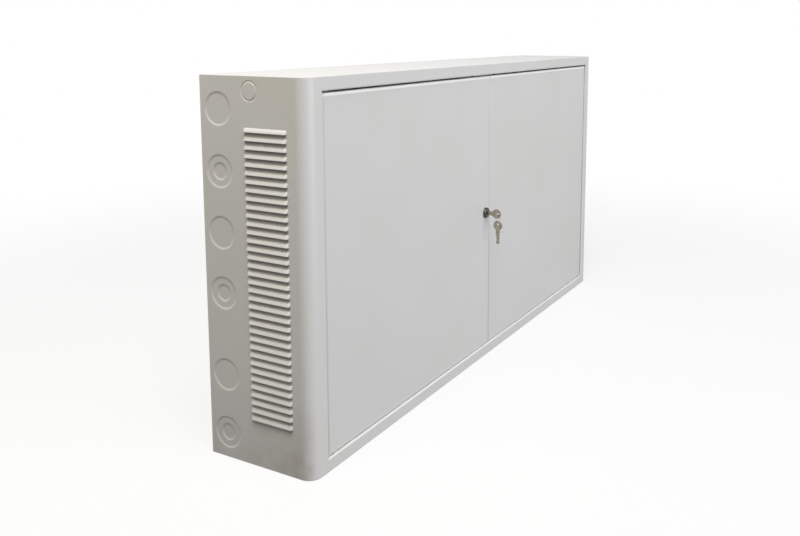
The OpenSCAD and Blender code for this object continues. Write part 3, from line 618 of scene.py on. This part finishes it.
def makeLouvres():
    s = louvre
    sizes = {
        "Count": s["count"], "Pitch": s["pitch"], "Half Long": s["long"] / 2, "Tall": s["tall"],
        "Stand Out": s["standOut"], "Wall": s["wall"], "End Round": s["endRound"],
        "Half Wide": halfWide - s["sunk"], "Middle Back": s["middleBack"], "First Foot": louvreFoot[0],
        "Bulge Out": s["bulgeOut"], "Bulge Up": s["bulgeUp"], "Paint": coat,
    }
    r = Repeat("pressedLouvres", sizes)
    grid = r.get("GeometryNodeMeshGrid", values={
        "Size X": 2.0, "Size Y": 1.0, "Vertices X": s["rowsAlong"], "Vertices Y": s["rowsDown"]}, out="Mesh")
    parts = r.make("ShaderNodeSeparateXYZ", values={0: r.get("GeometryNodeInputPosition")})
    along, down = r.out(parts, 0), r.out(parts, 1) + 0.5
    along = along * (1.5 - 0.5 * along * along)  # closer rows at the ends
    endShare = r.size("End Round") / r.size("Half Long")
    past = ((abs(along) - (1 - endShare)) / endShare).above(0.0)
    swell = (1 - past * past).above(0.0).root()
    bulge = down * (1 - down)
    standOut = r.size("Stand Out") * (down + r.size("Bulge Out") * bulge) * swell
    height = r.size("Tall") * (1 - down + r.size("Bulge Up") * bulge)
    spot = r.vector(x=standOut, y=along * r.size("Half Long"), z=height)
    skin = r.get("GeometryNodeSetPosition", values={"Geometry": grid, "Position": spot})
    pushed = r.get("GeometryNodeExtrudeMesh", {"mode": "FACES"},
                   {"Mesh": skin, "Offset Scale": r.size("Wall"), "Individual": False})
    back = r.get("GeometryNodeFlipFaces", values={"Mesh": pushed})
    join = r.make("GeometryNodeJoinGeometry")
    r.link(skin, join, 0)
    r.link(back, join, 0)
    hood = r.get("GeometryNodeMergeByDistance", values={"Geometry": r.out(join), "Distance": weld})
    sides = r.make("GeometryNodeJoinGeometry")
    for sign, turn in ((1.0, 0.0), (-1.0, math.pi)):
        start = r.vector(x=r.size("Half Wide") * sign, y=-r.size("Middle Back"), z=r.size("First Foot"))
        row = r.get("GeometryNodeMeshLine", {"mode": "OFFSET"}, {
            "Count": r.size("Count"), "Start Location": start, "Offset": r.vector(z=r.size("Pitch"))})
        hoods = r.get("GeometryNodeInstanceOnPoints", values={
            "Points": row, "Instance": hood, "Rotation": (0, 0, turn)})
        r.link(hoods, sides, 0)
    r.close(r.out(sides), r.size("Paint"))
    made = r.run("louvreHoods", bpy.data.meshes.new("louvreHoods"))
    shape = bmesh.new()
    shape.from_mesh(made.data)
    bmesh.ops.recalc_face_normals(shape, faces=shape.faces)
    shape.to_mesh(made.data)
    shape.free()
    softShade(made, s["crease"])
    return putOn(made, "cabinet", "painted_steel")


louvrePiece = makeLouvres()
print("louvres pressed:", len(louvrePiece.data.polygons), "faces")


# Pieces that keep the solid's shape, with eased edges
easing = {"flatWithin": 0.4, "sharpOver": 32, "segments": 2, "crease": 35}
easedPieces = {  # piece: node, body, ease in mm, material, slot
    "rearPan": ("rear_pan", "cabinet", 0.0, coat, "painted_steel"),
    "upperStop": ("upper_door_stop", "cabinet", 0.25, coat, "painted_steel"),
    "lowerStop": ("lower_door_stop", "cabinet", 0.25, coat, "painted_steel"),
    "leftDoorPan": ("left_door", "left_leaf", 0.0, coat, "painted_steel"),
    "leftDoorHat": ("left_door_stiffener", "left_leaf", 0.25, coat, "painted_steel"),
    "rightDoorPan": ("right_door", "right_leaf", 0.0, coat, "painted_steel"),
    "rightDoorHat": ("right_door_stiffener", "right_leaf", 0.25, coat, "painted_steel"),
    "leftOuterRail": ("left_bay_outer_rail", "cabinet", 0.3, zinc, "zinc_steel"),
    "leftInnerRail": ("left_bay_inner_rail", "cabinet", 0.3, zinc, "zinc_steel"),
    "rightInnerRail": ("right_bay_inner_rail", "cabinet", 0.3, zinc, "zinc_steel"),
    "rightOuterRail": ("right_bay_outer_rail", "cabinet", 0.3, zinc, "zinc_steel"),
    "hingePins": ("hinge_pins", "cabinet", 0.4, zinc, "zinc_steel"),
    "leftHingePlates": ("left_hinge_plates", "left_leaf", 0.3, zinc, "zinc_steel"),
    "rightHingePlates": ("right_hinge_plates", "right_leaf", 0.3, zinc, "zinc_steel"),
    "lockNut": ("lock_nut", "left_leaf", 0.3, zinc, "zinc_steel"),
    "lockCam": ("lock_cam", "lock_core", 0.3, zinc, "zinc_steel"),
    "camScrew": ("cam_screw", "lock_core", 0.4, zinc, "zinc_steel"),
    "boltGuides": ("bolt_guides", "right_leaf", 0.3, zinc, "zinc_steel"),
    "upperBolt": ("upper_bolt", "bolt_up", 0.4, zinc, "zinc_steel"),
    "lowerBolt": ("lower_bolt", "bolt_down", 0.4, zinc, "zinc_steel"),
    "groundBar": ("ground_bar", "cabinet", 0.4, copper, "copper"),
    "groundStandoffs": ("ground_standoffs", "cabinet", 0.5, redInsulator, "insulator"),
    "doorBumpers": ("door_bumpers", "cabinet", 0.8, blackRubber, "rubber"),
    "leftBushes": ("left_hinge_bushes", "left_leaf", 0.2, darkNylon, "nylon"),
    "rightBushes": ("right_hinge_bushes", "right_leaf", 0.2, darkNylon, "nylon"),
    "lockHousing": ("lock_housing", "left_leaf", 0.2, lockChrome, "lock_chrome"),
    "lockPlug": ("lock_plug", "lock_core", 0.15, lockChrome, "lock_chrome"),
    "doorKey": ("door_key", "lock_core", 0.35, keyNickel, "key_nickel"),
    "spareKey": ("spare_key", "hanging_key", 0.35, keyNickel, "key_nickel"),
}


def easedCopy(name, node, body, ease, material, slot):
    shape = bmesh.new()
    shape.from_mesh(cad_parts[node].data)
    bmesh.ops.remove_doubles(shape, verts=shape.verts, dist=weld)
    bmesh.ops.dissolve_limit(shape, angle_limit=math.radians(easing["flatWithin"]),
                             verts=shape.verts, edges=shape.edges)
    if ease:
        least = math.radians(easing["sharpOver"])
        sharp = [e for e in shape.edges if len(e.link_faces) == 2 and e.calc_face_angle(0) > least]
        bmesh.ops.bevel(shape, geom=sharp, offset=mm(ease), offset_type="OFFSET", segments=easing["segments"],
                        profile=0.5, affect="EDGES", clamp_overlap=True)
        bmesh.ops.remove_doubles(shape, verts=shape.verts, dist=2 * weld)
    made = newObject(name, meshFrom(shape, name), material)
    softShade(made, easing["crease"])
    return putOn(made, body, slot, node)


for name, row in easedPieces.items():
    easedCopy(name, *row)
print("eased pieces:", len(easedPieces))


# Fasteners: turned once, then set on points
def turned(name, rows, sides, flats=None, thread=None):  # rows of (radius, along Y)
    shape = bmesh.new()
    rings = []
    for radius, along in rows:
        ring = []
        for i in range(sides):
            turn = 2 * math.pi * i / sides
            reach = radius
            if flats:
                reach = min(reach, flats / 2 / math.cos(turn % (math.pi / 3) - math.pi / 6))
            if thread:  # one groove that winds round
                crest, pitch, depth = thread
                wave = abs((along / pitch + i / sides) % 1 * 2 - 1)
                reach = min(reach, crest - depth * wave)
            ring.append(shape.verts.new((reach * math.cos(turn), along, reach * math.sin(turn))))
        rings.append(ring)
    for near, far in zip(rings, rings[1:]):
        for i in range(sides):
            shape.faces.new([near[i], far[i], far[(i + 1) % sides], near[(i + 1) % sides]])
    bmesh.ops.remove_doubles(shape, verts=shape.verts, dist=weld)
    bmesh.ops.recalc_face_normals(shape, faces=shape.faces)
    return newObject(name, meshFrom(shape, name))


def setOnPoints(name, fastener, spots, material, seed):  # each one turned by chance
    sizes = {"Fastener": fastener, "Turn Spread": math.tau, "Seed": seed, "Finish": material}
    r = Repeat(name, sizes)
    shape = r.get("GeometryNodeObjectInfo", {"transform_space": "ORIGINAL"},
                  {"Object": r.size("Fastener")}, out="Geometry")
    turn = r.get("FunctionNodeRandomValue", {"data_type": "FLOAT"},
                 {2: 0.0, 3: r.size("Turn Spread"), 8: r.size("Seed")}, out=1)
    placed = r.get("GeometryNodeInstanceOnPoints", values={
        "Points": r.size("Geometry"), "Instance": shape, "Rotation": r.vector(y=turn)})
    r.close(placed, r.size("Finish"))
    points = bpy.data.meshes.new(name)
    points.from_pydata(spots, [], [])
    made = r.run(name, points)
    bpy.data.objects.remove(fastener)
    return made


def joinPieces(name, pieces):
    shape = bmesh.new()
    for piece in pieces:
        shape.from_mesh(piece.data)
    material = pieces[0].data.materials[0]
    for piece in pieces:
        bpy.data.objects.remove(piece)
    return newObject(name, meshFrom(shape, name), material)


railFixing = {
    "footInset": mm(10.5), "fromEnd": mm(36), "plate": mm(1.5), "footThick": mm(2),
    "studLong": mm(12), "studRadius": mm(3), "studTip": mm(0.8), "studSides": 32,
    "studSeed": 4, "studCrease": 30, "pitch": mm(1), "pitchRows": 8, "threadDeep": mm(0.55),
    "nutFlats": mm(10), "nutTall": mm(5), "nutSides": 48, "nutSeed": 9, "nutCrease": 24,
    "nutFace": ((mm(-0.2), 0), (mm(0.4), mm(0.33))), "nutEdge": mm(0.65),  # past the flats, behind the face
    "boreGap": mm(0.05), "boreChamfer": mm(0.35),
}
cornerReach = 1.2  # takes a turned row past the corners of its hexagon


def makeRailFixing():
    s = railFixing
    spots = []
    for node, side in (("left_bay_outer_rail", -1), ("left_bay_inner_rail", 1),
                       ("right_bay_inner_rail", -1), ("right_bay_outer_rail", 1)):
        low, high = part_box(node)
        x = high.x - s["footInset"] if side > 0 else low.x + s["footInset"]
        spots += [(x, 0, z) for z in (low.z + s["fromEnd"], 0, high.z - s["fromEnd"])]
    tip, base = -s["plate"] - s["studLong"], -s["plate"]
    back = base - s["footThick"]
    front = back - s["nutTall"]
    radius = s["studRadius"]
    rows = [(0, tip), (radius - s["studTip"], tip), (radius, tip + s["studTip"])]
    while rows[-1][1] < front - mm(0.1):  # threaded as far as the nut
        rows.append((radius, rows[-1][1] + s["pitch"] / s["pitchRows"]))
    rows += [(radius, base), (0, base)]
    stud = turned("weldStud", rows, s["studSides"], thread=(radius, s["pitch"], s["threadDeep"]))
    studs = setOnPoints("railStuds", stud, spots, zinc, s["studSeed"])
    bore, half = radius + s["boreGap"], s["nutFlats"] / 2
    outer = [(bore + s["boreChamfer"], front)]
    outer += [(half + wider, front + past) for wider, past in s["nutFace"]]
    outer.append((half * cornerReach, front + s["nutEdge"]))
    mirrored = [(a, front + back - b) for a, b in reversed(outer)]
    inner = [(bore, back - s["boreChamfer"]), (bore, front + s["boreChamfer"])]
    nut = turned("hexNut", outer + mirrored + inner + outer[:1], s["nutSides"], s["nutFlats"])
    nuts = setOnPoints("railNuts", nut, spots, zinc, s["nutSeed"])
    putOn(softShade(studs, s["studCrease"]), "cabinet", "zinc_steel", "rail_studs")
    putOn(softShade(nuts, s["nutCrease"]), "cabinet", "zinc_steel", "rail_nuts")
    return len(spots)


groundScrew = {
    "headFlats": mm(7.97), "headTall": mm(3.2), "headFoot": mm(0.2), "footInset": mm(0.1),
    "headFace": ((mm(-0.3), 0), (mm(0.3), mm(0.35))), "headEdge": mm(0.7),
    "radius": mm(2.5), "tip": mm(0.6), "sides": 48, "crease": 26,
    "slotWide": mm(1.1), "slotDeep": mm(1.3), "slotLong": mm(14),
    "endInset": mm(14), "endLong": mm(14), "endSeed": 2,
    "terminals": 5, "terminalLong": mm(8), "terminalSeed": 6,
}


def makeGroundScrews():
    s = groundScrew
    low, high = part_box("ground_bar")
    seat, first, last = low.y, low.z + s["endInset"], high.z - s["endInset"]
    step = (last - first) / (s["terminals"] + 1)
    ends = [(0, seat, first), (0, seat, last)]
    terminals = [(0, seat, first + step * (i + 1)) for i in range(s["terminals"])]
    half, top, radius = s["headFlats"] / 2, -s["headTall"], s["radius"]
    head = [(0, top)] + [(half + wider, top + past) for wider, past in s["headFace"]]
    head += [(half * cornerReach, top + s["headEdge"]), (half * cornerReach, -s["headFoot"]),
             (half - s["footInset"], 0), (radius, 0)]
    made = []
    for name, spots, long, seed in (("endScrews", ends, s["endLong"], s["endSeed"]),
                                    ("terminalScrews", terminals, s["terminalLong"], s["terminalSeed"])):
        shank = [(radius, long - s["tip"]), (radius - s["tip"], long), (0, long)]
        screw = turned("hexScrew", head + shank, s["sides"], s["headFlats"])
        blade = bmesh.new()
        bmesh.ops.create_cube(blade, size=1, matrix=Matrix.Translation((0, top, 0)) @
                              Matrix.Diagonal((s["slotWide"], 2 * s["slotDeep"], s["slotLong"], 1)))
        cutAway(screw, newObject("slotBlade", meshFrom(blade, "slotBlade")))
        made.append(setOnPoints(name, screw, spots, zinc, seed))
    piece = joinPieces("groundScrews", made)
    return putOn(softShade(piece, s["crease"]), "cabinet", "zinc_steel", "ground_screws")


keyRing = {
    "turns": 2.0, "wireAcross": mm(0.76), "wireDeep": mm(1.3), "rise": mm(0.8), "inset": mm(0.8),
    "steps": 72, "round": 12, "start": 2.2, "crease": 50,
}


def makeKeyRing():  # two flat coils side by side
    s = keyRing
    low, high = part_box("key_ring")
    middle, radius = (low + high) / 2, (high.x - low.x) / 2 - s["inset"]
    sizes = {
        "Turns": s["turns"], "Radius": radius, "Wire Across": s["wireAcross"], "Wire Deep": s["wireDeep"],
        "Rise": s["rise"], "Steps": s["steps"], "Round": s["round"], "Start": s["start"], "Finish": ringSteel,
    }
    r = Repeat("splitRing", sizes)
    path = r.get("GeometryNodeCurveSpiral", values={
        "Resolution": r.size("Steps"), "Rotations": r.size("Turns"), "Start Radius": r.size("Radius"),
        "End Radius": r.size("Radius"), "Height": r.size("Rise")})
    upright = r.get("GeometryNodeSetCurveNormal", {"mode": "Z_UP"}, {"Curve": path})
    wire = r.get("GeometryNodeCurvePrimitiveCircle", values={"Resolution": r.size("Round"), "Radius": 0.5})
    flat = r.vector(x=r.size("Wire Deep"), y=r.size("Wire Across"), z=1.0)
    section = r.get("GeometryNodeTransform", values={"Geometry": wire, "Scale": flat})
    coil = r.get("GeometryNodeCurveToMesh", values={
        "Curve": upright, "Profile Curve": section, "Fill Caps": True})
    centred = r.vector(z=r.size("Rise") * -0.5)
    coil = r.get("GeometryNodeTransform", values={
        "Geometry": coil, "Rotation": r.vector(z=r.size("Start")), "Translation": centred})
    coil = r.get("GeometryNodeTransform", values={
        "Geometry": coil, "Rotation": (math.pi / 2, 0, 0), "Translation": middle})
    r.close(coil, r.size("Finish"))
    made = r.run("keyRing", bpy.data.meshes.new("keyRing"))
    return putOn(softShade(made, s["crease"]), "hanging_ring", "ring_steel", "key_ring")


print("fasteners set:", makeRailFixing(), "rail studs")
makeGroundScrews()
makeKeyRing()
print("ground screws and key ring made")


# Stage, light and camera
stage = {
    "height": -halfTall - mm(0.3), "reach": 14.0, "floor": paintColour(224, 224, 224),
    "bounce": paintColour(100, 99, 98), "glow": 0.78, "fade": (0.9, 2.4),
}


def makeFloor():
    s = stage
    mesh = bpy.data.meshes.new("paleFloor")
    corners = [(sx * s["reach"], sy * s["reach"], s["height"])
               for sx, sy in ((-1, -1), (1, -1), (1, 1), (-1, 1))]
    mesh.from_pydata(corners, [], [(0, 1, 2, 3)])
    material = bpy.data.materials.new("paleFloor")
    material.use_nodes = True
    b = Bench(material.node_tree)
    b.tree.nodes.clear()
    spot = b.get("ShaderNodeTexCoord", out="Object")
    away = b.get("ShaderNodeVectorMath", {"operation": "LENGTH"}, {0: spot}, out="Value")
    glow = s["glow"] + (1 - s["glow"]) * away.rise(*s["fade"])  # no horizon line
    pale = b.get("ShaderNodeBsdfDiffuse", values={"Color": s["floor"]})
    matt = b.get("ShaderNodeBsdfDiffuse", values={"Color": s["bounce"]})
    white = b.get("ShaderNodeEmission", values={"Color": (1, 1, 1, 1), "Strength": 1.0})
    shown = b.get("ShaderNodeMixShader", values={0: glow, 1: pale, 2: white})
    mixed = b.get("ShaderNodeMixShader", values={0: b.seenRay(), 1: matt, 2: shown})
    b.link(mixed, b.make("ShaderNodeOutputMaterial"), "Surface")
    newObject("paleFloor", mesh, material)


light = {
    "room": 0.13, "roomColour": (1.0, 0.97, 0.9, 1), "noGloss": ("backSoft", "rightSoft"),
    "lamps": {  # name: place, aim, size, watts, colour
        "topSoft": ((-1.7, -1.15, 3.7), (0.0, -0.1, 0.0), 2.4, 162.0, (0.975, 0.98, 1.0)),
        "frontSoft": ((0.2, -3.9, 0.7), (0.0, -0.1, 0.0), 2.4, 97.0, (0.965, 0.975, 1.0)),
        "leftWarm": ((-1.6, 0.35, 1.45), (-0.6, -0.1, 0.25), 0.9, 9.2, (1.0, 0.88, 0.56)),
        "backSoft": ((0.0, 3.6, 0.3), (0.0, 0.0, 0.0), 1.6, 58.0, (0.985, 0.99, 1.0)),
        "rightSoft": ((3.4, 0.4, 0.0), (0.6, 0.0, 0.0), 0.6, 22.0, (0.985, 0.99, 1.0)),
    },
}


def makeLight():
    world = bpy.data.worlds.new("studio")
    bpy.context.scene.world = world
    world.use_nodes = True
    b = Bench(world.node_tree)
    b.tree.nodes.clear()
    room = b.get("ShaderNodeBackground", values={"Color": light["roomColour"], "Strength": light["room"]})
    white = b.get("ShaderNodeBackground", values={"Color": (1, 1, 1, 1), "Strength": 1.0})
    mixed = b.get("ShaderNodeMixShader", values={0: b.seenRay(), 1: room, 2: white})
    b.link(mixed, b.make("ShaderNodeOutputWorld"), "Surface")
    for name, (place, aim, size, watts, colour) in light["lamps"].items():
        lamp = bpy.data.lights.new(name, "AREA")
        lamp.shape, lamp.size, lamp.energy, lamp.color = "SQUARE", size, watts, colour
        made = bpy.data.objects.new(name, lamp)
        bpy.context.scene.collection.objects.link(made)
        made.visible_glossy = name not in light["noGloss"]  # fill light without a shine
        made.location = place
        made.rotation_euler = (Vector(aim) - Vector(place)).to_track_quat("-Z", "Y").to_euler()


photoView = {
    "place": (-1.5579, -0.9432, 0.3686), "turn": (82.187, -0.012, -60.537), "lens": 38.01, "sensor": 36.0,
    "shift": (-0.04, -0.15), "clip": (0.05, 60),
}


def makeCamera():
    s = photoView
    data = bpy.data.cameras.new("photoCamera")
    data.sensor_width, data.lens = s["sensor"], s["lens"]
    data.shift_x, data.shift_y = s["shift"]
    data.clip_start, data.clip_end = s["clip"]
    made = bpy.data.objects.new("photoCamera", data)
    bpy.context.scene.collection.objects.link(made)
    made.location = s["place"]
    made.rotation_euler = Euler([math.radians(a) for a in s["turn"]])
    bpy.context.scene.camera = made


makeFloor()
makeLight()
makeCamera()
bpy.context.scene.view_settings.view_transform = "Standard"
print("stage, light and camera set")
